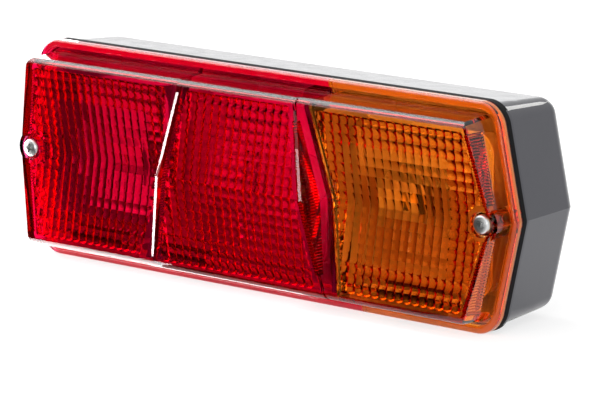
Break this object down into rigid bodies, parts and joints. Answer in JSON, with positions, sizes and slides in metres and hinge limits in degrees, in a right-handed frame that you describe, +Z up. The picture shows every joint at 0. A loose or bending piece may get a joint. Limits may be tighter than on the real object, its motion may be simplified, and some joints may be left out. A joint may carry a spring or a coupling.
{
  "type": "tail light cluster",
  "caption": "Rear lamp cluster: a folded red and amber lens screwed on a deep black housing, with bulbs and reflectors inside, bolted on from behind.",
  "frame": {"origin": "middle of the plane that the two mounting pads rest on, half way between the studs", "axes": "+X along the lamp towards its amber end, +Y out of the back along the studs, +Z up; the lens faces -Y"},
  "size_m": [0.2598, 0.0855, 0.092],
  "materials": {
    "housing_plastic": "black moulded plastic, glossy",
    "red_lens": "clear red acrylic",
    "amber_lens": "clear amber acrylic",
    "rubber": "black rubber, dull",
    "zinc_steel": "bright zinc plate",
    "bright_sheet": "bright rolled sheet",
    "brass": "plain brass",
    "bulb_glass": "clear blown glass",
    "phenolic": "brown pressed resin, dull"
  },
  "bodies": {
    "root": {"housing": "housing_plastic", "gasket": "rubber", "lens_red": "red_lens", "lens_amber": "amber_lens", "lens_screws": "zinc_steel", "screw_inserts": "brass", "mounting_bolts": "zinc_steel", "cable_grommet": "rubber", "rivets": "bright_sheet", "pan_screws": "zinc_steel", "bulb_sleeves": "zinc_steel", "insulators": "phenolic", "contacts": "brass", "bulb_caps": "brass", "bulb_glasses": "bulb_glass", "terminal_block": "phenolic", "terminal_screws": "brass", "earth_strip": "brass", "reflector_tail": "bright_sheet", "reflector_stop": "bright_sheet", "reflector_indicator": "bright_sheet", "bracket_tail": "zinc_steel", "bracket_stop": "zinc_steel", "bracket_indicator": "zinc_steel", "feed_tail": "brass", "feed_stop": "brass", "feed_indicator": "brass"}
  },
  "joints": []
}
